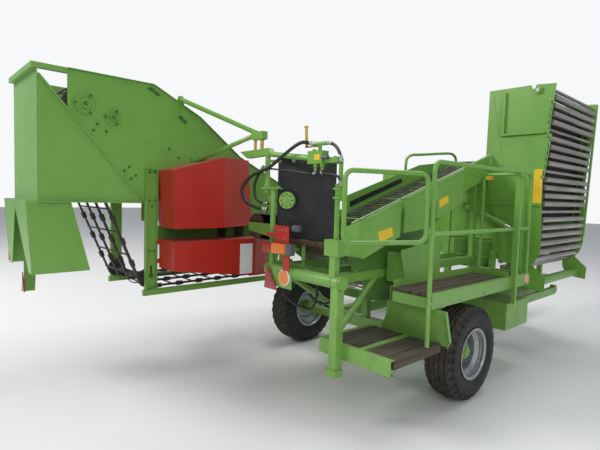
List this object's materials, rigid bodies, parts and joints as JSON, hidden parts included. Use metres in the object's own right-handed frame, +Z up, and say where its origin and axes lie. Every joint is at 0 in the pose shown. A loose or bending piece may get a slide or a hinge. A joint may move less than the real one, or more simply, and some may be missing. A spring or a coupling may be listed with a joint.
{
  "type": "potato harvester",
  "caption": "Trailed potato harvester with a digging channel, sorting table, operator platform and a slatted bunker with a folding unloading arm.",
  "frame": {"origin": "middle of the outline's box on the ground", "axes": "+X to the machine's right, +Y forward to the drawbar, +Z up"},
  "size_m": [3.14, 7.0498, 2.83],
  "materials": {
    "green_paint": "weathered gloss",
    "red_paint": "weathered gloss",
    "bare_steel": "worn",
    "worn_steel": "soil-worn",
    "rubber_black": "matt",
    "tyre_rubber": "matt",
    "rim_silver": "galvanised",
    "weathered_boards": "grey weathered",
    "lamp_red": "clear"
  },
  "bodies": {
    "chassis": {"main_frame": "green_paint", "axle": "green_paint", "jack": "bare_steel", "channel_right": "green_paint", "channel_left": "green_paint", "rear_hood": "green_paint", "channel_posts": "green_paint", "second_web": "worn_steel", "haulm_web": "worn_steel", "guard_upper": "red_paint", "guard_lower": "red_paint", "cross_frame": "green_paint", "cross_web": "worn_steel", "rubber_curtain": "rubber_black", "hydraulics": "green_paint", "hoses": "rubber_black", "tie_tubes": "green_paint", "table_frame": "green_paint", "sorting_web": "worn_steel", "chutes": "green_paint", "platform_frame": "green_paint", "boards": "weathered_boards", "step_frame": "green_paint", "guard_rails": "green_paint", "mudguard": "green_paint", "front_box": "green_paint", "bunker_hull": "green_paint", "floor_web": "bare_steel", "rear_lights": "lamp_red"},
    "drawbar": {"drawbar": "green_paint"},
    "intake": {"intake_frame": "green_paint", "digging_web": "worn_steel", "share": "bare_steel"},
    "coulter_left": {"disc_left": "bare_steel"},
    "coulter_right": {"disc_right": "bare_steel"},
    "ridge_roller": {"ridge_roller": "bare_steel"},
    "gate": {"gate": "green_paint"},
    "unloading_arm": {"arm_frame": "green_paint", "arm_web": "bare_steel"},
    "cylinder_barrel": {"cylinder_barrel": "green_paint"},
    "cylinder_rod": {"cylinder_rod": "bare_steel"},
    "wheel_left": {"wheel_left": "rim_silver", "tyre_left": "tyre_rubber"},
    "wheel_right": {"wheel_right": "rim_silver", "tyre_right": "tyre_rubber"}
  },
  "joints": [
    {"name": "wheel_left_turn", "type": "hinge", "parent": "chassis", "child": "wheel_left", "pos_m": [-0.545, -0.78, 0.39], "axis": [1, 0, 0], "continuous": true},
    {"name": "wheel_right_turn", "type": "hinge", "parent": "chassis", "child": "wheel_right", "pos_m": [1.385, -0.78, 0.39], "axis": [1, 0, 0], "continuous": true},
    {"name": "drawbar_swing", "type": "hinge", "parent": "chassis", "child": "drawbar", "pos_m": [0.57, 2.06, 0.49], "axis": [0, 0, 1], "range_deg": [-20, 20]},
    {"name": "intake_lift", "type": "hinge", "parent": "chassis", "child": "intake", "pos_m": [-1.13, -0.565, 1.25], "axis": [1, 0, 0], "range_deg": [-4, 8]},
    {"name": "coulter_left_turn", "type": "hinge", "parent": "intake", "child": "coulter_left", "pos_m": [-1.55, 1.18, 0.47], "axis": [1, 0, 0], "continuous": true},
    {"name": "coulter_right_turn", "type": "hinge", "parent": "intake", "child": "coulter_right", "pos_m": [-0.71, 1.18, 0.47], "axis": [1, 0, 0], "continuous": true},
    {"name": "ridge_roller_turn", "type": "hinge", "parent": "intake", "child": "ridge_roller", "pos_m": [-1.13, 1.64, 0.43], "axis": [1, 0, 0], "continuous": true},
    {"name": "gate_swing", "type": "hinge", "parent": "chassis", "child": "gate", "pos_m": [1.453, -1.452, 1.6], "axis": [0, 0, 1], "range_deg": [-15, 110]},
    {"name": "arm_fold", "type": "hinge", "parent": "chassis", "child": "unloading_arm", "pos_m": [1.325, 1.245, 1.15], "axis": [0, 1, 0], "range_deg": [0, 95]},
    {"name": "barrel_swing", "type": "hinge", "parent": "chassis", "child": "cylinder_barrel", "pos_m": [0.67, 0.505, 1.59], "axis": [0, 1, 0], "range_deg": [-5.9, 0.5]},
    {"name": "rod_slide", "type": "slide", "parent": "cylinder_barrel", "child": "cylinder_rod", "axis": [0.9255, 0, -0.3786], "range_m": [0, 0.364]}
  ],
  "couplings": [
    {"joint": "barrel_swing", "follows": "arm_fold", "ratio": -0.05667},
    {"joint": "rod_slide", "follows": "arm_fold", "m_per_rad": 0.2164}
  ]
}
